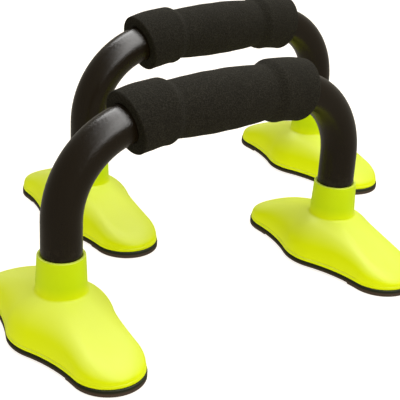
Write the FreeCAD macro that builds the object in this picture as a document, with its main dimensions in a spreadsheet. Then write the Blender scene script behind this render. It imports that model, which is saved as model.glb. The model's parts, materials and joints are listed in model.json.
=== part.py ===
import FreeCAD, Part
import math
import os
import Sketcher

# Pair of low bars: bent steel tube, foam grip, two socketed feet with rubber soles each.
# Millimetres, +Z up, X along the bars, Y across them, floor at Z = 0.

sizes = {
    "tube_diameter": 25.0,
    "tube_wall": 1.5,
    "leg_spacing": 218.0,
    "grip_height": 131.0,
    "shoulder_radius": 95.0,
    "shoulder_angle": 18.0,
    "bend_radius": 54.0,
    "grip_wall": 6.6,
    "waist_wall": 5.1,
    "cuff_wall": 7.7,
    "cuff_length": 24.5,
    "cuff_ramp": 3.5,
    "cuff_round": 2.6,
    "grip_clearance": 0.1,
    "foot_length": 148.0,
    "foot_width": 66.0,
    "flank_offset": 2.0,
    "toe_radius": 22.0,
    "waist_radius": 100.0,
    "foot_draft": 12.0,
    "ridge_height": 33.0,
    "ridge_flat": 16.0,
    "ridge_bend": 50.0,
    "toe_height": 12.5,
    "shell_round": 11.0,
    "shell_wall": 2.4,
    "shell_roof": 2.6,
    "lip_width": 0.35,
    "lip_height": 1.4,
    "collar_height": 54.6,
    "collar_wall": 1.9,
    "collar_base_wall": 3.0,
    "collar_flare": 1.6,
    "collar_sink": 0.2,
    "collar_rim_round": 0.8,
    "pocket_height": 6.7,
    "pocket_clearance": 1.0,
    "socket_floor_thickness": 4.0,
    "socket_clearance": 0.15,
    "rib_thickness": 2.2,
    "cross_rib_offset": 38.0,
    "sole_thickness": 4.6,
    "sole_round": 0.8,
    "sole_ledge": 0.15,
    "toe_ledge": 0.8,
    "arch_height": 1.2,
    "arch_length": 88.0,
    "tongue_height": 1.5,
    "tongue_clearance": 0.45,
    "tread_length": 26.0,
    "tread_width": 2.4,
    "tread_depth": 2.2,
    "tread_pitch": 8.0,
    "tread_count": 15.0,
    "plug_length": 18.0,
    "plug_clearance": 0.1,
    "barb_depth": 1.0,
    "screw_diameter": 4.8,
    "screw_length": 20.0,
    "screw_head_diameter": 9.5,
    "screw_head_height": 3.2,
    "screw_clearance": 0.15,
    "washer_diameter": 13.0,
    "washer_thickness": 1.2,
    "cut_overrun": 1.0,
    "bar_offset": 99.0,
    "bar_spacing": 135.0,
}

doc = FreeCAD.newDocument("bars")
dims = doc.addObject("Spreadsheet::Sheet", "dims")
for row, (alias, value) in enumerate(sizes.items(), start=1):
    dims.set("A%d" % row, alias.replace("_", " "))
    dims.set("B%d" % row, "%g" % value)
    dims.setAlias("B%d" % row, alias)
doc.recompute()

V = FreeCAD.Vector
upAxis = V(0, 0, 1)


def worth(formula):
    for alias in sorted(sizes, key=len, reverse=True):
        formula = formula.replace("dims." + alias, "%.9f" % sizes[alias])
    return float(FreeCAD.Units.parseQuantity(formula).Value)


# Sizes that follow from the driving ones: foam and collar walls stand on the tube,
# the socket floor stands on the sole, the tube ends on the socket floor.
foamBore = "(dims.tube_diameter / 2 + dims.grip_clearance)"
gripRadius = "(%s + dims.grip_wall)" % foamBore
waistRadius = "(%s + dims.waist_wall)" % foamBore
cuffRadius = "(%s + dims.cuff_wall)" % foamBore
socketRadius = "(dims.tube_diameter / 2 + dims.socket_clearance)"
collarRadius = "(%s + dims.collar_wall)" % socketRadius
collarBaseRadius = "(%s + dims.collar_base_wall)" % socketRadius
flankRadius = "(dims.foot_width / 2 - dims.flank_offset)"
tongueTop = "(dims.sole_thickness + dims.tongue_height)"
pocketTop = "(%s + dims.pocket_height)" % tongueTop
socketFloor = "(%s + dims.socket_floor_thickness)" % pocketTop
pocketRadius = "(dims.washer_diameter / 2 + dims.pocket_clearance)"
screwHoleRadius = "(dims.screw_diameter / 2 + dims.screw_clearance)"
tubeBoreRadius = "(dims.tube_diameter / 2 - dims.tube_wall)"


def bind(obj, **links):
    for path, formula in links.items():
        obj.setExpression(path.replace("__", "."), formula)


def moveTo(obj, x="0", y="0", z="0"):
    for axis, formula in zip("xyz", (x, y, z)):
        if formula != "0":
            obj.setExpression("Placement.Base." + axis, formula)


def newBody(name):
    return doc.addObject("PartDesign::Body", name)


def plane(body, role):
    return next(f for f in body.Origin.OriginFeatures if f.Role == role)


def newSketch(body, name, role, **offset):
    sketch = body.newObject("Sketcher::SketchObject", name)
    sketch.AttachmentSupport = [(plane(body, role), "")]
    sketch.MapMode = "FlatFace"
    for axis, formula in offset.items():
        sketch.setExpression("AttachmentOffset.Base." + axis, formula)
    return sketch


def drive(sketch, label, formula, *args):
    index = sketch.addConstraint(Sketcher.Constraint(*args))
    sketch.renameConstraint(index, label)
    sketch.setExpression("Constraints." + label, formula)


def arc(centre, radius, start, end):
    circle = Part.Circle(centre, upAxis, radius)
    return Part.ArcOfCircle(circle, start, end)


def pad(body, name, sketch, length, **more):
    feature = body.newObject("PartDesign::Pad", name)
    feature.Profile = sketch
    bind(feature, Length=length, **more)
    sketch.Visibility = False
    doc.recompute()
    return feature


def revolve(body, name, sketch, axis="V_Axis", angle=None):
    feature = body.newObject("PartDesign::Revolution", name)
    feature.Profile = sketch
    feature.ReferenceAxis = (sketch, [axis])
    feature.Angle = 360
    if angle:
        bind(feature, Angle=angle)
    sketch.Visibility = False
    doc.recompute()
    return feature


def cutAway(body, name, sketch, length):
    before = body.Shape.Volume
    feature = body.newObject("PartDesign::Pocket", name)
    feature.Profile = sketch
    bind(feature, Length=length)
    doc.recompute()
    if body.Shape.Volume > before - 1.0:
        feature.Reversed = not feature.Reversed
        doc.recompute()
    if body.Shape.Volume > before - 1.0:
        raise RuntimeError(name + " removes nothing")
    return feature


def fillet(body, name, radius, wanted):
    base = body.Tip
    feature = body.newObject("PartDesign::Fillet", name)
    feature.Base = (base, wanted(base.Shape))
    bind(feature, Radius=radius)
    doc.recompute()
    return feature


def boolean(kind, name, base, tool):
    obj = doc.addObject("Part::" + kind, name)
    obj.Base = base
    obj.Tool = tool
    doc.recompute()
    if kind == "Fuse" and obj.Shape.Volume < base.Shape.Volume:
        raise RuntimeError(name + " loses its base")
    return obj


def cylinder(name, radius, height, z="0"):
    obj = doc.addObject("Part::Cylinder", name)
    bind(obj, Radius=radius, Height=height)
    moveTo(obj, z=z)
    return obj


# Tube centre line: flat top, wide shoulders that the grip cuffs sit on, tighter bends, straight legs.
turn = math.radians(sizes["shoulder_angle"])
halfLeg = sizes["leg_spacing"] / 2
halfFlat = (halfLeg - sizes["shoulder_radius"] * math.sin(turn)
            - sizes["bend_radius"] * (1 - math.sin(turn)))
flatFormula = ("(dims.leg_spacing / 2 - dims.shoulder_radius * sin(dims.shoulder_angle)"
               " - dims.bend_radius * (1 - sin(dims.shoulder_angle)))")


def centreLine(body, name, end, endFormula):
    sketch = newSketch(body, name, "XZ_Plane")
    big, small = sizes["shoulder_radius"], sizes["bend_radius"]
    top = sizes["grip_height"]
    bigZ = top - big
    smallX = halfFlat + (big - small) * math.sin(turn)
    smallZ = bigZ + (big - small) * math.cos(turn)
    quarter = math.pi / 2
    lines = [Part.LineSegment(V(-halfLeg, end, 0), V(-halfLeg, smallZ, 0)),
             arc(V(-smallX, smallZ, 0), small, quarter + turn, math.pi),
             arc(V(-halfFlat, bigZ, 0), big, quarter, quarter + turn),
             Part.LineSegment(V(-halfFlat, top, 0), V(halfFlat, top, 0)),
             arc(V(halfFlat, bigZ, 0), big, quarter - turn, quarter),
             arc(V(smallX, smallZ, 0), small, 0, quarter - turn),
             Part.LineSegment(V(halfLeg, smallZ, 0), V(halfLeg, end, 0))]
    leg, bend, shoulder, flat, shoulder2, bend2, leg2 = sketch.addGeometry(lines, False)
    joints = [(leg, 2, bend, 2), (bend, 1, shoulder, 2), (shoulder, 1, flat, 1),
              (flat, 2, shoulder2, 2), (shoulder2, 1, bend2, 2), (bend2, 1, leg2, 1)]
    for joint in joints:
        sketch.addConstraint(Sketcher.Constraint("Tangent", *joint))
    sketch.addConstraint(Sketcher.Constraint("Horizontal", flat))
    sketch.addConstraint(Sketcher.Constraint("Vertical", leg))
    sketch.addConstraint(Sketcher.Constraint("Vertical", leg2))
    drive(sketch, "topHeight", "dims.grip_height", "DistanceY", -1, 1, flat, 1, top)
    drive(sketch, "legLeft", "dims.leg_spacing / 2", "DistanceX", leg, 1, -1, 1, halfLeg)
    drive(sketch, "legRight", "dims.leg_spacing / 2", "DistanceX", -1, 1, leg2, 2, halfLeg)
    drive(sketch, "endLeft", endFormula, "DistanceY", -1, 1, leg, 1, end)
    drive(sketch, "endRight", endFormula, "DistanceY", -1, 1, leg2, 2, end)
    for side, wide, tight in (("Left", shoulder, bend), ("Right", shoulder2, bend2)):
        drive(sketch, "shoulder" + side, "dims.shoulder_radius", "Radius", wide, big)
        drive(sketch, "bend" + side, "dims.bend_radius", "Radius", tight, small)
        drive(sketch, "turn" + side, "dims.shoulder_angle", "Angle", wide, turn)
    return sketch


def pipe(name, radiusFormula, endFormula):
    body = newBody(name)
    radius = worth(radiusFormula)
    path = centreLine(body, name + "_path", worth(endFormula), endFormula)
    section = newSketch(body, name + "_section", "XY_Plane", z=endFormula)
    ring = section.addGeometry(Part.Circle(V(-halfLeg, 0, 0), upAxis, radius), False)
    section.addConstraint(Sketcher.Constraint("PointOnObject", ring, 3, -1))
    drive(section, "legX", "dims.leg_spacing / 2", "DistanceX", ring, 3, -1, 1, halfLeg)
    drive(section, "size", radiusFormula, "Radius", ring, radius)
    doc.recompute()
    run = body.newObject("PartDesign::AdditivePipe", name + "_run")
    run.Profile = section
    run.Spine = path
    doc.recompute()
    return body


tubeForm = pipe("tube_form", "dims.tube_diameter / 2", socketFloor)
tubeBore = pipe("tube_bore", tubeBoreRadius, socketFloor + " - dims.cut_overrun")
sleeveBore = pipe("sleeve_bore", foamBore, socketFloor)


# Foam sleeve: barrel on the flat of the tube, a raised cuff on each shoulder.
def gripSolid(name):
    body = newBody(name)
    sketch = newSketch(body, name + "_profile", "XZ_Plane", y="dims.grip_height")
    cuff = worth(cuffRadius)
    waist = worth(waistRadius)
    middle = worth(gripRadius)
    ramp = halfFlat - sizes["cuff_ramp"]
    barrel = Part.Arc(V(-ramp, waist, 0), V(0, middle, 0), V(ramp, waist, 0))
    edges = [Part.LineSegment(V(-halfFlat, 0, 0), V(-halfFlat, cuff, 0)),
             Part.LineSegment(V(-halfFlat, cuff, 0), V(-ramp, waist, 0)),
             barrel,
             Part.LineSegment(V(ramp, waist, 0), V(halfFlat, cuff, 0)),
             Part.LineSegment(V(halfFlat, cuff, 0), V(halfFlat, 0, 0)),
             Part.LineSegment(V(halfFlat, 0, 0), V(-halfFlat, 0, 0))]
    left, rampL, curve, rampR, right, axis = sketch.addGeometry(edges, False)
    crown = sketch.addGeometry(Part.Point(V(0, middle, 0)), False)
    first, second = (1, 2) if sketch.getPoint(curve, 1).x < 0 else (2, 1)
    for pair in ((left, 2, rampL, 1), (rampL, 2, curve, first), (curve, second, rampR, 1),
                 (rampR, 2, right, 1), (right, 2, axis, 1), (axis, 2, left, 1)):
        sketch.addConstraint(Sketcher.Constraint("Coincident", *pair))
    sketch.addConstraint(Sketcher.Constraint("Vertical", left))
    sketch.addConstraint(Sketcher.Constraint("Vertical", right))
    sketch.addConstraint(Sketcher.Constraint("PointOnObject", axis, 1, -1))
    sketch.addConstraint(Sketcher.Constraint("PointOnObject", axis, 2, -1))
    sketch.addConstraint(Sketcher.Constraint("PointOnObject", crown, 1, -2))
    sketch.addConstraint(Sketcher.Constraint("PointOnObject", crown, 1, curve))
    half = flatFormula
    drive(sketch, "halfLeft", half, "DistanceX", left, 1, -1, 1, halfFlat)
    drive(sketch, "halfRight", half, "DistanceX", -1, 1, right, 2, halfFlat)
    drive(sketch, "rampLeft", "dims.cuff_ramp", "DistanceX", rampL, 1, rampL, 2, halfFlat - ramp)
    drive(sketch, "rampRight", "dims.cuff_ramp", "DistanceX", rampR, 1, rampR, 2, halfFlat - ramp)
    drive(sketch, "cuffLeft", cuffRadius, "DistanceY", -1, 1, left, 2, cuff)
    drive(sketch, "cuffRight", cuffRadius, "DistanceY", -1, 1, right, 1, cuff)
    drive(sketch, "waistLeft", waistRadius, "DistanceY", -1, 1, rampL, 2, waist)
    drive(sketch, "waistRight", waistRadius, "DistanceY", -1, 1, rampR, 1, waist)
    drive(sketch, "crown", gripRadius, "DistanceY", -1, 1, crown, 1, middle)
    sketch.toggleConstruction(crown)
    doc.recompute()
    revolve(body, name + "_barrel", sketch, "H_Axis")
    for side, sign in (("left", "-"), ("right", "")):
        ring = newSketch(body, name + "_ring_" + side, "YZ_Plane", z=sign + half,
                         y="dims.grip_height - dims.shoulder_radius")
        big = sizes["shoulder_radius"]
        disc = ring.addGeometry(Part.Circle(V(0, big, 0), upAxis, cuff), False)
        ring.addConstraint(Sketcher.Constraint("PointOnObject", disc, 3, -2))
        drive(ring, "reach", "dims.shoulder_radius", "DistanceY", -1, 1, disc, 3, big)
        drive(ring, "size", cuffRadius, "Radius", disc, cuff)
        doc.recompute()
        cuffTurn = "dims.cuff_length / dims.shoulder_radius * 180 / pi"
        sleeve = revolve(body, name + "_cuff_" + side, ring, "H_Axis", cuffTurn)
        sleeve.Reversed = side == "left"
        doc.recompute()
    reach = halfFlat + sizes["cuff_length"] / 2

    def endRims(shape):
        rims = []
        for number, edge in enumerate(shape.Edges, start=1):
            box = edge.BoundBox
            if min(abs(box.XMin), abs(box.XMax)) > reach:
                rims.append("Edge%d" % number)
        return rims

    fillet(body, name + "_ends", "dims.cuff_round", endRims)
    return body


gripForm = gripSolid("grip_form")


# Foot outline: convex flanks, hollow waists and round toes, all tangent.
def outline(body, name, inset, insetFormula, levelFormula, reach=0, reachFormula="0"):
    sketch = newSketch(body, name, "XY_Plane", z=levelFormula)
    flank = worth(flankRadius) - inset
    toe = sizes["toe_radius"] - inset
    waist = sizes["waist_radius"] + inset
    flankX = sizes["flank_offset"]
    toeY = sizes["foot_length"] / 2 - sizes["toe_radius"] + reach
    span = math.hypot(flankX, toeY)
    nearSum, farSum = flank + waist, toe + waist
    along = (nearSum ** 2 - farSum ** 2 + span ** 2) / (2 * span)
    across = math.sqrt(nearSum ** 2 - along ** 2)
    unitX, unitY = -flankX / span, toeY / span
    waistX = flankX + along * unitX + across * unitY
    waistY = along * unitY - across * unitX
    low = math.atan2(waistY, waistX - flankX)
    high = math.atan2(waistY - toeY, waistX)
    full = math.pi
    arcs = [arc(V(flankX, 0, 0), flank, -low, low),
            arc(V(waistX, waistY, 0), waist, full + high, full + low),
            arc(V(0, toeY, 0), toe, high, full - high),
            arc(V(-waistX, waistY, 0), waist, -low, -high),
            arc(V(-flankX, 0, 0), flank, full - low, full + low),
            arc(V(-waistX, -waistY, 0), waist, high, low),
            arc(V(0, -toeY, 0), toe, full + high, 2 * full - high),
            arc(V(waistX, -waistY, 0), waist, full - low, full - high)]
    right, ne, north, nw, left, sw, south, se = sketch.addGeometry(arcs, False)
    for joint in ((right, 2, ne, 2), (ne, 1, north, 1), (north, 2, nw, 2), (nw, 1, left, 1),
                  (left, 2, sw, 2), (sw, 1, south, 1), (south, 2, se, 2), (se, 1, right, 1)):
        sketch.addConstraint(Sketcher.Constraint("Tangent", *joint))
    sketch.addConstraint(Sketcher.Constraint("PointOnObject", right, 3, -1))
    sketch.addConstraint(Sketcher.Constraint("PointOnObject", left, 3, -1))
    sketch.addConstraint(Sketcher.Constraint("PointOnObject", north, 3, -2))
    sketch.addConstraint(Sketcher.Constraint("PointOnObject", south, 3, -2))
    toeFormula = "dims.foot_length / 2 - dims.toe_radius + " + reachFormula
    drive(sketch, "flankRight", "dims.flank_offset", "DistanceX", -1, 1, right, 3, flankX)
    drive(sketch, "flankLeft", "dims.flank_offset", "DistanceX", left, 3, -1, 1, flankX)
    drive(sketch, "toeNorth", toeFormula, "DistanceY", -1, 1, north, 3, toeY)
    drive(sketch, "toeSouth", toeFormula, "DistanceY", south, 3, -1, 1, toeY)
    for label, item in (("right", right), ("left", left)):
        drive(sketch, "flankRadius_" + label, flankRadius + " - (%s)" % insetFormula,
              "Radius", item, flank)
    for label, item in (("north", north), ("south", south)):
        drive(sketch, "toeRadius_" + label, "dims.toe_radius - (%s)" % insetFormula,
              "Radius", item, toe)
    for label, item in (("ne", ne), ("nw", nw), ("sw", sw), ("se", se)):
        drive(sketch, "waistRadius_" + label, "dims.waist_radius + (%s)" % insetFormula,
              "Radius", item, waist)
    doc.recompute()
    return sketch


# Everything above the ridge line, seen from the end of the bar.
def ridge(body, name, drop, dropFormula):
    reach = sizes["foot_length"]
    sketch = newSketch(body, name, "YZ_Plane", z="-dims.foot_width")
    flat = sizes["ridge_flat"] / 2
    bend = sizes["ridge_bend"]
    top = sizes["ridge_height"] - drop
    toeY, toeZ = sizes["foot_length"] / 2, sizes["toe_height"] - drop
    # slope of the line from the toe that touches the ridge bend
    dy, dz = toeY - flat, toeZ - (top - bend)
    slope = math.pi / 2 - math.atan2(dz, dy) - math.acos(bend / math.hypot(dy, dz))
    touch = V(flat + bend * math.sin(slope), top - bend + bend * math.cos(slope), 0)
    farZ = toeZ - (reach - toeY) * math.tan(slope)
    sky = top + 2 * bend
    north, south = V(reach, farZ, 0), V(-reach, farZ, 0)
    mirror = V(-touch.x, touch.y, 0)
    edges = [Part.LineSegment(south, mirror),
             arc(V(-flat, top - bend, 0), bend, math.pi / 2, math.pi / 2 + slope),
             Part.LineSegment(V(-flat, top, 0), V(flat, top, 0)),
             arc(V(flat, top - bend, 0), bend, math.pi / 2 - slope, math.pi / 2),
             Part.LineSegment(touch, north),
             Part.LineSegment(north, V(reach, sky, 0)),
             Part.LineSegment(V(reach, sky, 0), V(-reach, sky, 0)),
             Part.LineSegment(V(-reach, sky, 0), south)]
    fall, turnS, flatLine, turnN, fallN, wallN, roof, wallS = sketch.addGeometry(edges, False)
    for joint in ((fall, 2, turnS, 2), (turnS, 1, flatLine, 1), (flatLine, 2, turnN, 2),
                  (turnN, 1, fallN, 1)):
        sketch.addConstraint(Sketcher.Constraint("Tangent", *joint))
    for joint in ((fallN, 2, wallN, 1), (wallN, 2, roof, 1), (roof, 2, wallS, 1), (wallS, 2, fall, 1)):
        sketch.addConstraint(Sketcher.Constraint("Coincident", *joint))
    for line in (flatLine, roof):
        sketch.addConstraint(Sketcher.Constraint("Horizontal", line))
    for line in (wallN, wallS):
        sketch.addConstraint(Sketcher.Constraint("Vertical", line))
    toes = sketch.addGeometry([Part.Point(V(toeY, toeZ, 0)), Part.Point(V(-toeY, toeZ, 0))], False)
    height = "dims.ridge_height - (%s)" % dropFormula
    toeHeight = "dims.toe_height - (%s)" % dropFormula
    for label, item, line, sign in (("N", toes[0], fallN, 1), ("S", toes[1], fall, -1)):
        sketch.addConstraint(Sketcher.Constraint("PointOnObject", item, 1, line))
        ends = (-1, 1, item, 1) if sign > 0 else (item, 1, -1, 1)
        drive(sketch, "toeY" + label, "dims.foot_length / 2", "DistanceX", *ends, toeY)
        drive(sketch, "toeZ" + label, toeHeight, "DistanceY", -1, 1, item, 1, toeZ)
        sketch.toggleConstruction(item)
    drive(sketch, "top", height, "DistanceY", -1, 1, flatLine, 1, top)
    drive(sketch, "flatS", "dims.ridge_flat / 2", "DistanceX", flatLine, 1, -1, 1, flat)
    drive(sketch, "flatN", "dims.ridge_flat / 2", "DistanceX", -1, 1, flatLine, 2, flat)
    drive(sketch, "bendS", "dims.ridge_bend", "Radius", turnS, bend)
    drive(sketch, "bendN", "dims.ridge_bend", "Radius", turnN, bend)
    drive(sketch, "reachN", "dims.foot_length", "DistanceX", -1, 1, wallN, 1, reach)
    drive(sketch, "reachS", "dims.foot_length", "DistanceX", wallS, 2, -1, 1, reach)
    drive(sketch, "sky", height + " + 2 * dims.ridge_bend", "DistanceY", -1, 1, roof, 1, sky)
    doc.recompute()
    return sketch


def topEdges(shape):
    owners = {}
    for face in shape.Faces:
        u0, u1, v0, v1 = face.ParameterRange
        steep = face.normalAt((u0 + u1) / 2, (v0 + v1) / 2).z
        for edge in face.Edges:
            owners.setdefault(edge.hashCode(), []).append(steep)
    names = []
    for number, edge in enumerate(shape.Edges, start=1):
        steeps = owners[edge.hashCode()]
        if len(steeps) == 2 and max(steeps) > 0.8 and 0 < min(steeps) < 0.5:
            names.append("Edge%d" % number)
    return names


def mound(name, inset, insetFormula, drop, dropFormula, roundFormula):
    body = newBody(name)
    plan = outline(body, name + "_plan", inset, insetFormula, "dims.sole_thickness")
    pad(body, name + "_rise", plan, "dims.ridge_height - dims.sole_thickness + 2 * dims.cut_overrun",
        TaperAngle="-dims.foot_draft")
    cutAway(body, name + "_slope", ridge(body, name + "_ridge", drop, dropFormula),
            "2 * dims.foot_width")
    fillet(body, name + "_shoulders", roundFormula, topEdges)
    return body


shellForm = mound("shell_form", 0, "0", 0, "0", "dims.shell_round")
lipPlan = outline(shellForm, "lip_plan", -sizes["lip_width"], "-dims.lip_width", "dims.sole_thickness")
pad(shellForm, "lip", lipPlan, "dims.lip_height")
shellCore = mound("shell_core", sizes["shell_wall"], "dims.shell_wall",
                  sizes["shell_roof"], "dims.shell_roof", "dims.shell_round - dims.shell_wall")

# Inside the foot: socket post, one long rib and two cross ribs, all standing on the sole tongue.
post = cylinder("post", collarBaseRadius, "dims.ridge_height", tongueTop)
webs = [post]
for name, x, y, width, depth in (
        ("long_rib", "-dims.rib_thickness / 2", "-dims.foot_length / 2",
         "dims.rib_thickness", "dims.foot_length"),
        ("cross_rib_near", "-dims.foot_width / 2", "-dims.cross_rib_offset - dims.rib_thickness / 2",
         "dims.foot_width", "dims.rib_thickness"),
        ("cross_rib_far", "-dims.foot_width / 2", "dims.cross_rib_offset - dims.rib_thickness / 2",
         "dims.foot_width", "dims.rib_thickness")):
    rib = doc.addObject("Part::Box", name)
    bind(rib, Length=width, Width=depth, Height="dims.ridge_height")
    moveTo(rib, x, y, tongueTop)
    webs.append(rib)
webbing = doc.addObject("Part::MultiFuse", "webbing")
webbing.Shapes = webs
doc.recompute()
cavity = boolean("Cut", "cavity", shellCore, webbing)
hollowShell = boolean("Cut", "hollow_shell", shellForm, cavity)


# Tapered collar with a flared root and a rounded rim.
def collarSolid(name):
    body = newBody(name)
    sketch = newSketch(body, name + "_profile", "XZ_Plane")
    base = worth(collarBaseRadius)
    rim = worth(collarRadius)
    flare = sizes["collar_flare"]
    low = sizes["ridge_height"] - sizes["shell_roof"] / 2
    root = sizes["ridge_height"] - sizes["collar_sink"]
    top = sizes["collar_height"]
    soft = sizes["collar_rim_round"]
    quarter = math.pi / 2
    edges = [Part.LineSegment(V(0, low, 0), V(base + flare, low, 0)),
             Part.LineSegment(V(base + flare, low, 0), V(base + flare, root, 0)),
             arc(V(base + flare, root + flare, 0), flare, 2 * quarter, 3 * quarter),
             Part.LineSegment(V(base, root + flare, 0), V(rim, top - soft, 0)),
             arc(V(rim - soft, top - soft, 0), soft, 0, quarter),
             Part.LineSegment(V(rim - soft, top, 0), V(0, top, 0)),
             Part.LineSegment(V(0, top, 0), V(0, low, 0))]
    foot, rise, hollow, cone, lip, lid, axis = sketch.addGeometry(edges, False)
    for pair in ((foot, 2, rise, 1), (rise, 2, hollow, 2), (hollow, 1, cone, 1), (cone, 2, lip, 1),
                 (lip, 2, lid, 1), (lid, 2, axis, 1), (axis, 2, foot, 1)):
        sketch.addConstraint(Sketcher.Constraint("Coincident", *pair))
    for line in (foot, lid):
        sketch.addConstraint(Sketcher.Constraint("Horizontal", line))
    sketch.addConstraint(Sketcher.Constraint("Vertical", rise))
    sketch.addConstraint(Sketcher.Constraint("PointOnObject", axis, 1, -2))
    sketch.addConstraint(Sketcher.Constraint("PointOnObject", axis, 2, -2))
    sketch.addConstraint(Sketcher.Constraint("Vertical", hollow, 3, rise, 2))
    sketch.addConstraint(Sketcher.Constraint("Horizontal", hollow, 3, cone, 1))
    sketch.addConstraint(Sketcher.Constraint("Horizontal", lip, 3, cone, 2))
    sketch.addConstraint(Sketcher.Constraint("Vertical", lip, 3, lid, 1))
    drive(sketch, "low", "dims.ridge_height - dims.shell_roof / 2", "DistanceY", -1, 1, foot, 1, low)
    drive(sketch, "root", "dims.ridge_height - dims.collar_sink", "DistanceY", -1, 1, rise, 2, root)
    drive(sketch, "top", "dims.collar_height", "DistanceY", -1, 1, lid, 1, top)
    drive(sketch, "base", collarBaseRadius, "DistanceX", -1, 1, cone, 1, base)
    drive(sketch, "rim", collarRadius, "DistanceX", -1, 1, cone, 2, rim)
    drive(sketch, "flare", "dims.collar_flare", "Radius", hollow, flare)
    drive(sketch, "soft", "dims.collar_rim_round", "Radius", lip, soft)
    doc.recompute()
    revolve(body, name + "_turned", sketch)
    return body


collarForm = collarSolid("collar_form")
shellBlank = boolean("Fuse", "shell_blank", hollowShell, collarForm)
socketBore = cylinder("socket_bore", socketRadius, "dims.collar_height", socketFloor)
screwHole = cylinder("screw_hole", screwHoleRadius, "dims.collar_height", "dims.sole_thickness")
headPocket = cylinder("head_pocket", pocketRadius, "dims.pocket_height", tongueTop)
socketTool = doc.addObject("Part::MultiFuse", "socket_tool")
socketTool.Shapes = [socketBore, screwHole, headPocket]
doc.recompute()


# Level rectangle across the Y axis: its width in X, its depth in Y and the Y of its middle.
def strip(body, name, width, depth, middle="0"):
    sketch = newSketch(body, name, "XY_Plane")
    x = worth(width) / 2
    y0 = worth(middle) - worth(depth) / 2
    y1 = worth(middle) + worth(depth) / 2
    corners = [V(-x, y0, 0), V(x, y0, 0), V(x, y1, 0), V(-x, y1, 0)]
    sides = [Part.LineSegment(corners[i], corners[(i + 1) % 4]) for i in range(4)]
    near, right, far, left = sketch.addGeometry(sides, False)
    for pair in ((near, 2, right, 1), (right, 2, far, 1), (far, 2, left, 1), (left, 2, near, 1)):
        sketch.addConstraint(Sketcher.Constraint("Coincident", *pair))
    for line in (near, far):
        sketch.addConstraint(Sketcher.Constraint("Horizontal", line))
    for line in (left, right):
        sketch.addConstraint(Sketcher.Constraint("Vertical", line))
    drive(sketch, "side", "(%s) / 2" % width, "DistanceX", near, 1, -1, 1, x)
    drive(sketch, "width", width, "DistanceX", near, 1, near, 2, 2 * x)
    drive(sketch, "depth", depth, "DistanceY", right, 1, right, 2, y1 - y0)
    drive(sketch, "start", "(%s) / 2 - (%s)" % (depth, middle), "DistanceY", near, 1, -1, 1, -y0)
    doc.recompute()
    return sketch


# Rubber sole: tongue that locates in the shell, arch between two toe pads, slotted tread below.
def soleSolid(name):
    body = newBody(name)
    edge = sizes["lip_width"] + sizes["sole_ledge"]
    plan = outline(body, name + "_plan", -edge, "-dims.lip_width - dims.sole_ledge", "0",
                   sizes["toe_ledge"], "dims.toe_ledge")
    pad(body, name + "_slab", plan, "dims.sole_thickness")

    def rims(shape):
        flat = [e.BoundBox.ZLength < sizes["sole_round"] for e in shape.Edges]
        return ["Edge%d" % n for n, level in enumerate(flat, start=1) if level]

    fillet(body, name + "_rims", "dims.sole_round", rims)
    inset = sizes["shell_wall"] + sizes["tongue_clearance"]
    tongue = outline(body, name + "_tongue_plan", inset, "dims.shell_wall + dims.tongue_clearance",
                     "dims.sole_thickness")
    pad(body, name + "_tongue", tongue, "dims.tongue_height")
    arch = strip(body, name + "_arch_plan", "2 * dims.foot_width", "dims.arch_length")
    cutAway(body, name + "_arch", arch, "dims.arch_height")
    slot = strip(body, name + "_slot", "dims.tread_length", "dims.tread_width",
                 "-(dims.tread_count - 1) / 2 * dims.tread_pitch")
    groove = cutAway(body, name + "_groove", slot, "dims.tread_depth")
    tread = body.newObject("PartDesign::LinearPattern", name + "_tread")
    tread.Originals = [groove]
    tread.Direction = (slot, ["V_Axis"])
    bind(tread, Length="(dims.tread_count - 1) * dims.tread_pitch", Occurrences="dims.tread_count")
    body.Tip = tread
    doc.recompute()
    return body


soleForm = soleSolid("sole_form")
screwRelief = cylinder("screw_relief", pocketRadius, "dims.ridge_height", "dims.sole_thickness")


# Turned pieces on the leg axis: profile given as radius and height formulas.
def turned(name, profile):
    body = newBody(name)
    sketch = newSketch(body, name + "_profile", "XZ_Plane")
    probe = [V(worth(radius), worth(height), 0) for radius, height in profile]
    count = len(probe)
    lines = [Part.LineSegment(probe[i], probe[(i + 1) % count]) for i in range(count)]
    items = sketch.addGeometry(lines, False)
    for i in range(count):
        pair = (items[i], 2, items[(i + 1) % count], 1)
        sketch.addConstraint(Sketcher.Constraint("Coincident", *pair))
    for i, (radius, height) in enumerate(profile):
        if radius == "0":
            sketch.addConstraint(Sketcher.Constraint("PointOnObject", items[i], 1, -2))
        else:
            drive(sketch, "r%d" % i, radius, "DistanceX", -1, 1, items[i], 1, probe[i].x)
        drive(sketch, "z%d" % i, height, "DistanceY", -1, 1, items[i], 1, probe[i].y)
    doc.recompute()
    revolve(body, name + "_turned", sketch)
    return body


# Plug: three barbs, each an eighth of its length apart, and a chamfered nose.
plugRadius = tubeBoreRadius + " - dims.plug_clearance"
rootRadius = plugRadius + " - dims.barb_depth"
barbPitch = "dims.plug_length / 8"
plugProfile = [("0", socketFloor), (plugRadius, socketFloor)]
for barb in (1, 3, 5):
    plugProfile += [(plugRadius, "%s + %s * %d" % (socketFloor, barbPitch, barb)),
                    (rootRadius, "%s + %s * %d" % (socketFloor, barbPitch, barb + 1)),
                    (plugRadius, "%s + %s * %g" % (socketFloor, barbPitch, barb + 1.5))]
plugTop = socketFloor + " + dims.plug_length"
plugProfile += [(plugRadius, plugTop + " - dims.barb_depth"), (rootRadius, plugTop), ("0", plugTop)]
plugForm = turned("plug_form", plugProfile)
plugHole = cylinder("plug_hole", screwHoleRadius, "dims.plug_length + 2 * dims.cut_overrun",
                    socketFloor + " - dims.cut_overrun")

washerForm = cylinder("washer_form", "dims.washer_diameter / 2", "dims.washer_thickness",
                      pocketTop + " - dims.washer_thickness")
washerHole = cylinder("washer_hole", screwHoleRadius, "3 * dims.washer_thickness",
                      pocketTop + " - 2 * dims.washer_thickness")

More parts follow.
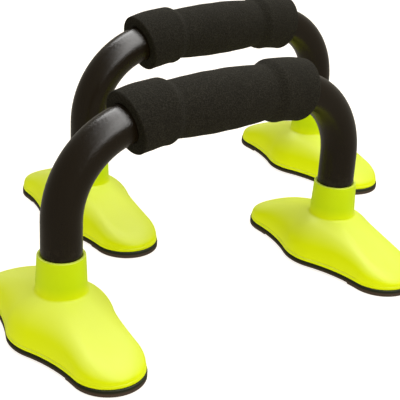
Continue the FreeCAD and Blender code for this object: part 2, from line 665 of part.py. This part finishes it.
under = pocketTop + " - dims.washer_thickness"
shank = "dims.screw_diameter / 2"
head = "dims.screw_head_diameter / 2"
screwForm = turned("screw_form", [
    ("0", under + " - dims.screw_head_height"),
    (head + " * 0.6", under + " - dims.screw_head_height"),
    (head, under + " - dims.screw_head_height * 0.55"),
    (head, under),
    (shank, under),
    (shank, under + " + dims.screw_length - dims.screw_diameter"),
    (shank + " * 0.3", under + " + dims.screw_length"),
    ("0", under + " + dims.screw_length")])
wings = []
for name, length, width in (("recess_a", "dims.screw_head_diameter * 0.55", "dims.screw_diameter / 4"),
                            ("recess_b", "dims.screw_diameter / 4", "dims.screw_head_diameter * 0.55")):
    wing = doc.addObject("Part::Box", name)
    bind(wing, Length=length, Width=width, Height="dims.screw_head_height * 1.2")
    moveTo(wing, "-(%s) / 2" % length, "-(%s) / 2" % width, under + " - dims.screw_head_height * 1.6")
    wings.append(wing)
crossRecess = doc.addObject("Part::MultiFuse", "cross_recess")
crossRecess.Shapes = wings
doc.recompute()

# Node set: each bar has one tube and grip, each leg one foot with its fixings.
nodes = []
for bar, sign in (("front", "-"), ("rear", "")):
    barX = "%sdims.bar_offset / 2" % sign
    barY = "%sdims.bar_spacing / 2" % sign
    for piece, form, tool in (("tube", tubeForm, tubeBore), ("grip", gripForm, sleeveBore)):
        node = boolean("Cut", "%s_%s" % (bar, piece), form, tool)
        moveTo(node, barX, barY)
        nodes.append(node)
    for side, legSign in (("left", "-"), ("right", "+")):
        legX = "%s %s dims.leg_spacing / 2" % (barX, legSign)
        for piece, form, tool in (("shell", shellBlank, socketTool), ("sole", soleForm, screwRelief),
                                  ("plug", plugForm, plugHole), ("washer", washerForm, washerHole),
                                  ("screw", screwForm, crossRecess)):
            node = boolean("Cut", "%s_%s_%s" % (bar, side, piece), form, tool)
            moveTo(node, legX, barY)
            nodes.append(node)
doc.recompute()

faults = [o.Name for o in doc.Objects if "Invalid" in o.State or "Error" in o.State]
for node in nodes:
    if node.Shape.isNull() or not node.Shape.isValid() or len(node.Shape.Solids) != 1:
        faults.append(node.Name)
if faults:
    raise RuntimeError("not sound: " + ", ".join(faults))

os.makedirs("parts", exist_ok=True)
for node in nodes:
    node.Label = node.Name
    node.Shape.exportStep("parts/%s.step" % node.Label)
    box = node.Shape.BoundBox
    print(node.Label, "%.1f %.1f %.1f" % (box.XLength, box.YLength, box.ZLength),
          "z %.2f" % box.ZMin, "vol %.0f" % node.Shape.Volume)
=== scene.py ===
import json
import math

import bpy
import numpy as np
from mathutils import Matrix, Vector


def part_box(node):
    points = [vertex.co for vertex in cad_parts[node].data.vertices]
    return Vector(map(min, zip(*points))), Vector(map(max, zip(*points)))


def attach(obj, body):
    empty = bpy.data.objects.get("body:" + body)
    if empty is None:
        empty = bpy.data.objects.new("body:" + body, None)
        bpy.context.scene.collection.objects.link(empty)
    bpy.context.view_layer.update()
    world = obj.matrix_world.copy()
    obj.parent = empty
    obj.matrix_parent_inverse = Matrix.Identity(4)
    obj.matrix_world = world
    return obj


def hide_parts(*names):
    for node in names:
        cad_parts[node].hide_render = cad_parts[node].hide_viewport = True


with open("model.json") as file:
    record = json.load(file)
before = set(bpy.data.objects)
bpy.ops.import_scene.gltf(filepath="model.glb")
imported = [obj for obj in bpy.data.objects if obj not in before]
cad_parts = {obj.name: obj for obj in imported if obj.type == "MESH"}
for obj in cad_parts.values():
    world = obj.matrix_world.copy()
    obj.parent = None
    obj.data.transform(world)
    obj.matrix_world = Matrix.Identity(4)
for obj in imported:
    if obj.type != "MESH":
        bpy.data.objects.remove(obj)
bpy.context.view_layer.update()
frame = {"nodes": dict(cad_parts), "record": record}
nodes = frame["nodes"]


class Wire:
    # a node's output socket; arithmetic on it adds Math nodes to the tree
    def __init__(self, tree, socket=None):
        self.tree = tree
        self.socket = socket

    # any node: its settings first, then the values or links of its sockets
    def add(self, kind, settings=None, inputs=None, output=0):
        made = self.tree.nodes.new(kind)
        for name, value in (settings or {}).items():
            setattr(made, name, value)
        for name, value in (inputs or {}).items():
            if isinstance(value, Wire):
                self.tree.links.new(value.socket, made.inputs[name])
            else:
                made.inputs[name].default_value = value
        return Wire(self.tree, made.outputs[output] if made.outputs else None)

    def combine(self, operation, first, second):
        return self.add("ShaderNodeMath", {"operation": operation}, {0: first, 1: second})

    def __add__(self, other):
        return self.combine("ADD", self, other)

    def __sub__(self, other):
        return self.combine("SUBTRACT", self, other)

    def __rsub__(self, other):
        return self.combine("SUBTRACT", other, self)

    def __mul__(self, other):
        return self.combine("MULTIPLY", self, other)

    __radd__ = __add__
    __rmul__ = __mul__


# a blank material, and the Object coordinates that its patterns read
def newFinish(name):
    material = bpy.data.materials.new(name)
    material.use_nodes = True
    material.node_tree.nodes.clear()
    return material, Wire(material.node_tree).add("ShaderNodeTexCoord", output="Object")


# cloudy pattern, 0 to 1, with lumps about this many metres across
def clouds(place, across, detail, roughness=0.5):
    return place.add("ShaderNodeTexNoise", {}, {"Vector": place, "Scale": 1 / across, "Detail": detail,
                                                "Roughness": roughness})


# cell pattern: distance from the nearest cell's middle, cells about this many metres across
def cells(place, across, smoothness=0.35):
    return place.add("ShaderNodeTexVoronoi", {"feature": "SMOOTH_F1"},
                     {"Vector": place, "Scale": 1 / across, "Smoothness": smoothness})


# soft step from 0 at low to 1 at high
def step(value, low, high):
    return value.add("ShaderNodeMapRange", {"interpolation_type": "SMOOTHSTEP"},
                     {"Value": value, "From Min": low, "From Max": high})


def heightOf(place):
    return place.add("ShaderNodeSeparateXYZ", {}, {"Vector": place}, "Z")


def stretched(place, scale):
    return place.add("ShaderNodeMapping", {}, {"Vector": place, "Scale": scale})


# the first colour where share is 0, the second where it is 1; 6, 7 and 2 are the Mix node's colour sockets
def tint(share, first, second):
    return share.add("ShaderNodeMix", {"data_type": "RGBA"}, {0: share, 6: first, 7: second}, 2)


# shader and output: relief is a height in metres, the rest goes to the shader's own sockets
def closeFinish(material, place, sockets, relief=None):
    if relief:
        bump = {"Strength": 1.0, "Distance": 1.0, "Height": relief}
        sockets["Normal"] = place.add("ShaderNodeBump", {}, bump)
    shader = place.add("ShaderNodeBsdfPrincipled", {}, sockets)
    place.add("ShaderNodeOutputMaterial", {}, {"Surface": shader})
    return material


# in each look: cloud patterns are (metres across, octaves, roughness) and steps are (low, high)
coatLook = {"black": (0.0098, 0.0063, 0.0026, 1), "worn": (0.022, 0.018, 0.011, 1),
            "grain": (0.0010, 3.0, 0.6), "grainHeight": 0.00013, "peel": (0.0026, 1.0),
            "peelHeight": 0.00002, "rub": (0.004, 3.0), "rubStep": (0.42, 0.66), "rubReach": 0.012,
            "rubShare": 0.6, "streak": (0.0016, 2.0), "streakStretch": (1, 1, 0.06),
            "streakStep": (0.62, 0.8), "streakShare": 0.12, "patch": (0.03, 3.0), "rough": 0.15,
            "patchRough": 0.1, "grainRough": 0.06, "rubGloss": 0.1, "specular": 0.22}


# satin powder coat: fine grain over a slow orange peel, rubbed just above the collars, faint upright streaks
def blackCoat():
    material, place = newFinish("blackCoat")
    look = coatLook
    grain = clouds(place, *look["grain"])
    peel = clouds(place, *look["peel"])
    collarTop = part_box("front_left_shell")[1][2]
    nearCollar = 1 - step(heightOf(place), collarTop, collarTop + look["rubReach"])
    rubbed = nearCollar * step(clouds(place, *look["rub"]), *look["rubStep"])
    upright = stretched(place, look["streakStretch"])
    streaks = step(clouds(upright, *look["streak"]), *look["streakStep"])
    worn = rubbed * look["rubShare"] + streaks * look["streakShare"]
    patches = clouds(place, *look["patch"]) * look["patchRough"]
    rough = look["rough"] + patches + grain * look["grainRough"] - rubbed * look["rubGloss"]
    colour = tint(worn, look["black"], look["worn"])
    relief = grain * look["grainHeight"] + peel * look["peelHeight"]
    return closeFinish(material, place, {"Base Color": colour, "Roughness": rough,
                                         "Specular IOR Level": look["specular"]}, relief)


foamLook = {"charcoal": (0.0102, 0.0089, 0.0055, 1), "dustAndGlint": (0.054, 0.049, 0.034, 1),
            "shadedPore": (0.0040, 0.0036, 0.0026, 1), "cell": 0.0014, "cellHeight": 0.00030,
            "fuzz": (0.0008, 3.0, 0.65), "fuzzHeight": 0.00020, "mottle": (0.014, 4.0, 0.6),
            "dustStep": (0.46, 0.66), "dustMottle": 0.8, "dustShare": 0.15, "tear": (0.0008, 2.0),
            "tearStep": (0.60, 0.72), "rough": 0.98, "dustGloss": 0.14, "specular": 0.06}


# closed-cell foam: skin of small cells, some of them torn open and painted dark as shade in the pores, pale
# specks on the raised fuzz that are dust and a painted highlight where cells catch the light
def foamSkin():
    material, place = newFinish("foamSkin")
    look = foamLook
    cell = cells(place, look["cell"])
    fuzz = clouds(place, *look["fuzz"])
    mottle = clouds(place, *look["mottle"])
    # pale specks on the raised fuzz: dust, and a painted highlight where cells catch the light
    pale = step(fuzz, *look["dustStep"]) * (mottle * look["dustMottle"] + look["dustShare"])
    # torn cells are dented and painted darker: painted shade in the open pores
    torn = step(clouds(place, *look["tear"]), *look["tearStep"])
    colour = tint(torn, tint(pale, look["charcoal"], look["dustAndGlint"]), look["shadedPore"])
    rough = look["rough"] - pale * look["dustGloss"]
    relief = cell * look["cellHeight"] + fuzz * look["fuzzHeight"] - torn * look["cellHeight"]
    return closeFinish(material, place, {"Base Color": colour, "Roughness": rough,
                                         "Specular IOR Level": look["specular"]}, relief)


# the bloom keys hold a painted sheen: upward faces are painted paler as a highlight; deep is the collar's
# darker green, partly painted shade
limeLook = {"lime": (0.760, 0.880, 0.001, 1), "deepShadedLime": (0.57, 0.75, 0.001, 1),
            "scuff": (0.80, 0.86, 0.05, 1), "paintedSheen": (0.83, 0.925, 0.19, 1),
            "collarStep": (0.030, 0.040), "collarShare": 0.92, "flow": (0.022, 3.0, 0.55),
            "flowStretch": (1, 0.35, 1), "flowShare": 0.08, "paintedSheenStep": (0.32, 1.0), "paintedSheenShare": 0.35,
            "paintedSheenFlow": 0.3, "scratch": (0.0013, 2.0), "scratchStretch": (1, 0.08, 1),
            "scratchStep": (0.66, 0.80), "lowStep": (0.006, 0.020), "scratchLow": 0.5, "scratchShare": 0.08,
            "fine": (0.0005, 2.0), "fineHeight": 0.000006, "sink": (0.03, 1.0), "sinkHeight": 0.00018,
            "rough": 0.36, "flowRough": 0.08, "scuffRough": 0.25, "fineRough": 0.04, "specular": 0.07}


# glossy moulded plastic: slow flow marks and sink, greener and darker on the collar (its thin wall over the
# dark tube, and painted shade on the upright collar), a painted sheen (a pale painted highlight) on upward
# faces and on the collar's rim, fine scratches that gather low on the flanks
def limePlastic():
    material, place = newFinish("limePlastic")
    look = limeLook
    above = heightOf(place)
    collar = step(above, *look["collarStep"])
    flow = clouds(stretched(place, look["flowStretch"]), *look["flow"])
    fine = clouds(place, *look["fine"])
    scratch = step(clouds(stretched(place, look["scratchStretch"]), *look["scratch"]), *look["scratchStep"])
    low = 1 - step(above, *look["lowStep"])
    scuffed = scratch * low * look["scratchLow"] + scratch * look["scratchShare"]
    facing = place.add("ShaderNodeNewGeometry", output="Normal")
    # painted sheen: faces that point up, the collar's rim among them, are painted pale lime as a highlight
    paintedSheen = step(heightOf(facing), *look["paintedSheenStep"]) * (look["paintedSheenShare"] + flow * look["paintedSheenFlow"])
    # the collar is painted darker and greener: partly its thin wall over the dark tube, partly painted shade
    # on the upright collar
    colour = tint(collar * look["collarShare"] + flow * look["flowShare"], look["lime"], look["deepShadedLime"])
    colour = tint(paintedSheen, colour, look["paintedSheen"])
    colour = tint(scuffed, colour, look["scuff"])
    rough = look["rough"] + flow * look["flowRough"] + scuffed * look["scuffRough"] + fine * look["fineRough"]
    relief = fine * look["fineHeight"] + clouds(place, *look["sink"]) * look["sinkHeight"]
    return closeFinish(material, place, {"Base Color": colour, "Roughness": rough,
                                         "Specular IOR Level": look["specular"]}, relief)


rubberLook = {"black": (0.010, 0.0140, 0.0015, 1), "brown": (0.056, 0.035, 0.0200, 1),
              "dusty": (0.070, 0.054, 0.036, 1), "pebble": 0.0008, "pebbleHeight": 0.00008,
              "patch": (0.009, 4.0, 0.65), "patchHeight": 0.00006, "blackStep": (0.0018, 0.0034),
              "scrubStep": (0.0002, 0.0022), "scrubPatch": (0.38, 0.7), "scrubShare": 0.7,
              "dustPatch": (0.6, 0.85), "dustShare": 0.15, "rough": 0.62, "patchRough": 0.2,
              "dustRough": 0.12, "specular": 0.18}


# moulded rubber: fine pebble, browner below, an olive-black band above that is a painted reflection of the
# lime shell, and dusty along the bottom edge where it scrubs the floor
def soleRubber():
    material, place = newFinish("soleRubber")
    look = rubberLook
    pebble = cells(place, look["pebble"])
    patches = clouds(place, *look["patch"])
    above = heightOf(place)
    scrubbed = (1 - step(above, *look["scrubStep"])) * step(patches, *look["scrubPatch"])
    dusty = scrubbed * look["scrubShare"] + step(patches, *look["dustPatch"]) * look["dustShare"]
    # above the brown band the rubber is painted olive-black: a painted reflection of the lime shell
    body = tint(step(above, *look["blackStep"]), look["brown"], look["black"])
    colour = tint(dusty, body, look["dusty"])
    rough = look["rough"] + patches * look["patchRough"] + dusty * look["dustRough"]
    relief = pebble * look["pebbleHeight"] + patches * look["patchHeight"]
    return closeFinish(material, place, {"Base Color": colour, "Roughness": rough,
                                         "Specular IOR Level": look["specular"]}, relief)


plugLook = {"black": (0.022, 0.022, 0.022, 1), "pale": (0.05, 0.05, 0.05, 1), "grain": (0.0006, 3.0),
            "grainHeight": 0.00004, "patch": (0.005, 3.0), "patchStep": (0.5, 0.8), "rough": 0.55,
            "grainRough": 0.15}


# plain black plastic with a fine grain and paler patches
def plugPlastic():
    material, place = newFinish("plugPlastic")
    look = plugLook
    grain = clouds(place, *look["grain"])
    colour = tint(step(clouds(place, *look["patch"]), *look["patchStep"]), look["black"], look["pale"])
    rough = look["rough"] + grain * look["grainRough"]
    return closeFinish(material, place, {"Base Color": colour, "Roughness": rough},
                       grain * look["grainHeight"])


zincLook = {"bright": (0.66, 0.67, 0.68, 1), "dull": (0.42, 0.42, 0.40, 1), "turning": (0.00025, 2.0),
            "turningStretch": (0.2, 0.2, 1), "turningHeight": 0.00001, "patch": (0.003, 4.0),
            "patchStep": (0.45, 0.75), "rough": 0.26, "dullRough": 0.2}


# zinc plate: dull patches over fine turning marks
def zincSteel():
    material, place = newFinish("zincSteel")
    look = zincLook
    marks = clouds(stretched(place, look["turningStretch"]), *look["turning"])
    dull = step(clouds(place, *look["patch"]), *look["patchStep"])
    colour = tint(dull, look["bright"], look["dull"])
    rough = look["rough"] + dull * look["dullRough"]
    return closeFinish(material, place, {"Base Color": colour, "Metallic": 1.0, "Roughness": rough},
                       marks * look["turningHeight"])


finishes = {"black_coat": blackCoat(), "foam": foamSkin(), "lime_plastic": limePlastic(),
            "sole_rubber": soleRubber(), "plug_plastic": plugPlastic(), "zinc_steel": zincSteel()}
for part in frame["record"]["subparts"]:
    mesh = nodes[part["node"]].data
    mesh.materials.clear()
    mesh.materials.append(finishes[part["material_slot"]])
print("finishes: %d on the CAD nodes" % len(finishes))


# smooth rise 3 t^2 - 2 t^3 from 0 to 1
def eased(t):
    return t * t * (3 - 2 * t)


# quads of a grid of points whose columns close into a ring, and its rows too if closed
def gridQuads(rows, cols, closed):
    i, j = np.meshgrid(np.arange(rows if closed else rows - 1), np.arange(cols), indexing="ij")
    nextI, nextJ = (i + 1) % rows, (j + 1) % cols
    corners = [i * cols + j, nextI * cols + j, nextI * cols + nextJ, i * cols + nextJ]
    return np.stack(corners, axis=-1).reshape(-1, 4)


# object at the origin with its place in its mesh, smooth but for its last few flat faces
def newPiece(name, points, faces, slot, flat=0):
    mesh = bpy.data.meshes.new(name)
    mesh.from_pydata(points.reshape(-1, 3).tolist(), [], faces)
    smooth = np.arange(len(faces)) < len(faces) - flat
    mesh.polygons.foreach_set("use_smooth", smooth)
    mesh.materials.append(finishes[slot])
    piece = bpy.data.objects.new(name, mesh)
    bpy.context.scene.collection.objects.link(piece)
    return piece


sleeveShape = {"shoulder": 0.095, "bend": 0.054, "turn": 18.0, "cuff": 0.0245, "ramp": 0.0075,
               "barrelWall": 0.0066, "waistWall": 0.0051, "cuffWall": 0.0077, "clearance": 0.0001,
               "endRound": 0.0010, "boreRound": 0.0006, "around": 208,
               "steps": {"barrel": 60, "ramp": 20, "band": 34, "rim": 13, "face": 9, "mouth": 6, "bore": 24},
               "lump": 0.00022, "waves": 9, "waveLength": (0.014, 0.06), "waveTurns": 5, "waveFade": 0.3,
               "seed": 5}


# half of the sleeve's section, middle to end and back along the bore, as run s and radius r in metres:
# barrel r = waist + (crown - waist)(1 - (s / s0)^2), smooth ramp up to the cuff, round rim, flat end, bore;
# loose is 1 on the outside, where the foam is uneven, and 0 in the bore
def halfSection(shape, flat, tubeRadius):
    steps = shape["steps"]
    bore = tubeRadius + shape["clearance"]
    crown, waist, cuff = (bore + shape[wall] for wall in ("barrelWall", "waistWall", "cuffWall"))
    end = flat + shape["cuff"]
    rampStart = flat - shape["ramp"]
    rim, lip = shape["endRound"], shape["boreRound"]
    s = np.linspace(0, rampStart, steps["barrel"])
    barrel = np.stack([s, waist + (crown - waist) * (1 - (s / rampStart) ** 2)])
    t = np.linspace(0, 1, steps["ramp"])[1:]
    rise = np.stack([rampStart + t * shape["ramp"], waist + (cuff - waist) * eased(t)])
    s = np.linspace(flat, end - rim, steps["band"])[1:]
    band = np.stack([s, np.full_like(s, cuff)])
    a = np.linspace(0, math.pi / 2, steps["rim"])[1:]
    roll = np.stack([end - rim + rim * np.sin(a), cuff - rim + rim * np.cos(a)])
    r = np.linspace(cuff - rim, bore + lip, steps["face"])[1:]
    face = np.stack([np.full_like(r, end), r])
    a = np.linspace(0, math.pi / 2, steps["mouth"])[1:]
    mouth = np.stack([end - lip + lip * np.cos(a), bore + lip - lip * np.sin(a)])
    s = np.linspace(end - lip, 0, steps["bore"])[1:]
    inside = np.stack([s, np.full_like(s, bore)])
    outer = np.concatenate([barrel, rise, band, roll, face], axis=1)
    inner = np.concatenate([mouth, inside], axis=1)
    loose = np.concatenate([np.ones(outer.shape[1]), np.zeros(inner.shape[1])])
    return np.concatenate([outer, inner], axis=1), loose


# place and upward normal on the tube's centre line at run s: straight, then an arc of the shoulder's radius
def alongTube(s, shape, flat):
    t = np.clip(np.abs(s) - flat, 0, None) / shape["shoulder"]
    x = np.sign(s) * (np.minimum(np.abs(s), flat) + shape["shoulder"] * np.sin(t))
    z = -shape["shoulder"] * (1 - np.cos(t))
    return x, z, np.sign(s) * np.sin(t), np.cos(t)


# slow unevenness of cut foam, -1 to 1: a few waves over run s and turn a, summed
def foamLumps(s, a, shape):
    pick = np.random.default_rng(shape["seed"])
    total = np.zeros(np.broadcast_shapes(s.shape, a.shape))
    for wave in range(shape["waves"]):
        length = pick.uniform(*shape["waveLength"])
        turns = pick.integers(0, shape["waveTurns"])
        phase, tilt = pick.uniform(0, 2 * math.pi, 2)
        swell = np.cos(2 * math.pi * s / length + phase) * np.cos(turns * a + tilt)
        total += swell / (1 + shape["waveFade"] * wave)
    return total / np.abs(total).max()


# the section, moved out by the lumps along its own normal, is turned round the tube's bent centre line
def foamSleeve(bar):
    shape = sleeveShape
    low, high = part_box(bar + "_tube")
    tubeRadius = (high[1] - low[1]) / 2
    midX, midY, topZ = (low[0] + high[0]) / 2, (low[1] + high[1]) / 2, high[2] - tubeRadius
    lean = math.sin(math.radians(shape["turn"]))
    halfLegs = (high[0] - low[0]) / 2 - tubeRadius
    flat = halfLegs - shape["shoulder"] * lean - shape["bend"] * (1 - lean)
    half, loose = halfSection(shape, flat, tubeRadius)
    mirrored = half[:, -2:0:-1] * np.array([[-1], [1]])
    section = np.concatenate([half, mirrored], axis=1)
    loose = np.concatenate([loose, loose[-2:0:-1]])
    run = np.roll(section, -1, axis=1) - np.roll(section, 1, axis=1)
    out = np.stack([-run[1], run[0]]) / np.linalg.norm(run, axis=0)
    a = np.linspace(0, 2 * math.pi, shape["around"], endpoint=False)[None, :]
    lump = foamLumps(section[0][:, None], a, shape) * shape["lump"] * loose[:, None]
    s = section[0][:, None] + out[0][:, None] * lump
    r = section[1][:, None] + out[1][:, None] * lump
    x, z, tipX, tipZ = alongTube(s, shape, flat)
    points = np.stack([midX + x + r * np.cos(a) * tipX, midY - r * np.sin(a),
                       topZ + z + r * np.cos(a) * tipZ], axis=-1)
    quads = gridQuads(*points.shape[:2], True)
    piece = newPiece(bar + "_foam", points, quads.tolist(), "foam")
    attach(piece, bar + "_bar")
    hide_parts(bar + "_grip")
    return piece


for bar in ("front", "rear"):
    piece = foamSleeve(bar)
    print("foam: %s has %d faces" % (piece.name, len(piece.data.polygons)))


footShape = {"length": 0.148, "width": 0.066, "flankOffset": 0.002, "toe": 0.022, "waist": 0.100,
             "crest": 0.0329, "fall": 0.370, "saddle": 0.018, "roundMid": 0.027, "roundToe": 0.012,
             "squareMid": 2.0, "squareToe": 2.6, "blend": 0.052, "lip": 0.00048, "lipHeight": 0.0021,
             "lipRound": 0.0004, "wall": 0.0024, "cavity": 0.0024, "collarBase": 0.01565,
             "collarRim": 0.01455, "collarBore": 0.01265, "fillet": 0.0014, "rimRound": 0.0008,
             "around": 384, "arcSteps": 90, "topSteps": 80, "collarSteps": 16, "rimSteps": 7}


# a quarter of the outline: flank circle, hollow waist circle and toe circle, each tangent to the next,
# as (centre x, centre y, radius), with the bearings low and high of the waist's centre from the other two
def footArcs(shape):
    flankX, toeY = shape["flankOffset"], shape["length"] / 2 - shape["toe"]
    flank, toe, waist = shape["width"] / 2 - flankX, shape["toe"], shape["waist"]
    span = math.hypot(flankX, toeY)
    along = ((flank + waist) ** 2 - (toe + waist) ** 2 + span ** 2) / (2 * span)
    across = math.sqrt((flank + waist) ** 2 - along ** 2)
    waistX = flankX + (across * toeY - along * flankX) / span
    waistY = (along * toeY + across * flankX) / span
    low, high = math.atan2(waistY, waistX - flankX), math.atan2(waistY - toeY, waistX)
    return (flankX, 0, flank), (waistX, waistY, waist), (0, toeY, toe), low, high


# distance from the leg's axis to the outline along bearing a
def outlineReach(shape, a):
    flank, waist, toe, low, high = footArcs(shape)
    steps = shape["arcSteps"]
    runs = [(flank, np.linspace(0, low, steps)), (waist, math.pi + np.linspace(low, high, steps)),
            (toe, np.linspace(high, math.pi / 2, steps))]
    x = np.concatenate([c[0] + c[2] * np.cos(t) for c, t in runs])
    y = np.concatenate([c[1] + c[2] * np.sin(t) for c, t in runs])
    return np.interp(np.arctan2(np.abs(np.sin(a)), np.abs(np.cos(a))), np.arctan2(y, x), np.hypot(x, y))


# depth d inside the outline: the nearest of its arcs, chosen by bearing from the waist's centre
def outlineDepth(shape, x, y):
    flank, waist, toe, low, high = footArcs(shape)
    x, y = np.abs(x), np.abs(y)
    bearing = np.mod(np.arctan2(y - waist[1], x - waist[0]), 2 * math.pi) - math.pi
    inFlank = flank[2] - np.hypot(x - flank[0], y)
    inWaist = np.hypot(x - waist[0], y - waist[1]) - waist[2]
    inToe = toe[2] - np.hypot(x, y - toe[1])
    return np.where(bearing > low, inFlank, np.where(bearing < high, inToe, inWaist))


# height of the moulded top: crest c = crest - fall (sqrt(y^2 + k^2) - k), rounded off at depth d by
# (c - base)(1 - (1 - d / w)^n)^(1 / n), where w narrows and n grows from the middle to the toes
def mouldedTop(shape, x, y, base):
    k = shape["saddle"]
    crest = shape["crest"] - shape["fall"] * (np.sqrt(y * y + k * k) - k)
    toeShare = eased(np.clip(np.abs(y) / shape["blend"], 0, 1))
    width = shape["roundMid"] + (shape["roundToe"] - shape["roundMid"]) * toeShare
    d = np.clip(outlineDepth(shape, x, y) / width, 0, 1)
    n = shape["squareMid"] + (shape["squareToe"] - shape["squareMid"]) * toeShare
    return base + (crest - base) * (1 - (1 - d) ** n) ** (1 / n)


# rings of reach and height, from the hollow underside out over the lip, up the moulded top and the collar,
# and down its bore; the top meets the collar in a fillet f - sqrt(f^2 - n^2), n from 0 to f
def footRings(shape, soleTop, collarTop, socketFloor):
    a = np.linspace(0, 2 * math.pi, shape["around"], endpoint=False)
    edge = outlineReach(shape, a)
    same = np.ones_like(a)
    lipTop, soft = soleTop + shape["lipHeight"], shape["lipRound"]
    inside, proud = edge - shape["wall"], edge + shape["lip"]
    rings = [(inside, (soleTop + shape["cavity"]) * same), (inside, soleTop * same),
             (proud - soft, soleTop * same), (proud, (soleTop + soft) * same),
             (proud, (lipTop - soft) * same), (proud - soft, lipTop * same)]
    base, rim, bore, fillet = (shape[k] for k in ("collarBase", "collarRim", "collarBore", "fillet"))
    for t in 0.5 - 0.5 * np.cos(np.linspace(0, math.pi, shape["topSteps"])):
        reach = edge + (base - edge) * t
        rise = mouldedTop(shape, reach * np.cos(a), reach * np.sin(a), lipTop)
        near = np.clip(base + fillet - reach, 0, fillet)
        rings.append((reach, rise + fillet - np.sqrt(fillet ** 2 - near ** 2)))
    root, soft = rings[-1][1], shape["rimRound"]
    for t in np.linspace(0, 1, shape["collarSteps"])[1:]:
        rings.append(((base + (rim - base) * t) * same, root + (collarTop - soft - root) * t))
    for t in np.linspace(0, math.pi / 2, shape["rimSteps"])[1:]:
        rings.append(((rim - soft + soft * math.cos(t)) * same,
                      (collarTop - soft + soft * math.sin(t)) * same))
    rings += [(bore * same, collarTop * same), (bore * same, socketFloor * same)]
    return a, np.array([reach for reach, height in rings]), np.array([height for reach, height in rings])


def mouldedFoot(bar, side):
    node = "%s_%s_shell" % (bar, side)
    low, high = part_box(node)
    a, reach, z = footRings(footShape, low[2], high[2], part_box(bar + "_tube")[0][2])
    midX, midY = (low[0] + high[0]) / 2, (low[1] + high[1]) / 2
    points = np.stack([midX + reach * np.cos(a), midY + reach * np.sin(a), z], axis=-1)
    rows, cols = z.shape
    quads = gridQuads(rows, cols, False)[:, [0, 3, 2, 1]]  # turned over, so that they face outwards
    ring = np.arange(cols)
    caps = [ring[::-1].tolist(), (ring + (rows - 1) * cols).tolist()]
    piece = newPiece("%s_%s_foot" % (bar, side), points, quads.tolist() + caps, "lime_plastic", len(caps))
    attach(piece, bar + "_bar")
    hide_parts(node)
    return piece


for bar in ("front", "rear"):
    for side in ("left", "right"):
        piece = mouldedFoot(bar, side)
        print("foot: %s has %d faces" % (piece.name, len(piece.data.polygons)))


floorLook = {"half": 60.0, "drop": 0.0003, "pale": (0.52, 0.48, 0.42, 1), "lit": (1, 0.97, 0.93, 1),
             "glow": 0.85, "haze": (0.4, 2.0), "rough": 0.8, "hazeRough": 0.05, "specular": 0.1}


# plain pale floor, just under the soles, lit from below as a light table is
def paleFloor():
    look = floorLook
    corners = np.array([(-1, -1), (1, -1), (1, 1), (-1, 1)]) * look["half"]
    mesh = bpy.data.meshes.new("floor")
    mesh.from_pydata(np.column_stack([corners, np.full(4, -look["drop"])]).tolist(), [], [(0, 1, 2, 3)])
    material, place = newFinish("paleFloor")
    rough = look["rough"] + clouds(place, *look["haze"]) * look["hazeRough"]
    sockets = {"Base Color": look["pale"], "Roughness": rough, "Specular IOR Level": look["specular"],
               "Emission Color": look["lit"], "Emission Strength": look["glow"]}
    mesh.materials.append(closeFinish(material, place, sockets))
    floor = bpy.data.objects.new("floor", mesh)
    floor.visible_glossy = False
    bpy.context.scene.collection.objects.link(floor)


paleFloor()
print("floor: %g m to each side" % floorLook["half"])

studio = {"tent": 0.38, "warm": (1, 0.94, 0.80, 1),
          "boxes": {"overhead": {"place": (0.20, -0.45, 1.28), "across": (1.5, 1.5), "power": 18.0,
                                 "lights": True},
                    "ceiling": {"place": (0.30, -1.00, 1.35), "across": (1.0, 5.0), "power": 190.0,
                                "lights": False}}}


# two soft boxes that face straight down: one lights the bars, the long one only shows as a sheen on the bends
def studioLight():
    world = bpy.data.worlds.new("tent")
    world.use_nodes = True
    sockets = world.node_tree.nodes["Background"].inputs
    sockets["Color"].default_value = studio["warm"]
    sockets["Strength"].default_value = studio["tent"]
    bpy.context.scene.world = world
    for name, box in studio["boxes"].items():
        lamp = bpy.data.lights.new(name, "AREA")
        lamp.shape = "RECTANGLE"
        lamp.size, lamp.size_y = box["across"]
        lamp.energy = box["power"]
        holder = bpy.data.objects.new(name, lamp)
        holder.location = box["place"]
        holder.visible_diffuse = box["lights"]
        bpy.context.scene.collection.objects.link(holder)
    bpy.context.scene.view_settings.view_transform = "Standard"


studioLight()
print("light: tent and %d soft boxes" % len(studio["boxes"]))

shot = {"place": (-0.4389, -0.5585, 0.3444), "yaw": 0.6591, "pitch": 0.4208, "roll": -0.0571,
        "focalPixels": 1077.7, "imagePixels": 400, "sensor": 36.0}


# yaw turns from +Y towards +X, pitch looks down, roll leans the picture
def photoCamera():
    yaw, pitch, roll = shot["yaw"], shot["pitch"], shot["roll"]
    ahead = Vector((math.sin(yaw) * math.cos(pitch), math.cos(yaw) * math.cos(pitch), -math.sin(pitch)))
    level = Vector((math.cos(yaw), -math.sin(yaw), 0))
    down = ahead.cross(level)
    right = level * math.cos(roll) + down * math.sin(roll)
    up = right.cross(ahead)
    data = bpy.data.cameras.new("photo")
    data.sensor_width = shot["sensor"]
    data.lens = shot["focalPixels"] / shot["imagePixels"] * shot["sensor"]
    camera = bpy.data.objects.new("photo", data)
    axes = Matrix((right, up, -ahead)).transposed().to_4x4()
    camera.matrix_world = Matrix.Translation(Vector(shot["place"])) @ axes
    bpy.context.scene.collection.objects.link(camera)
    bpy.context.scene.camera = camera


photoCamera()
print("camera: at the photo's angle")
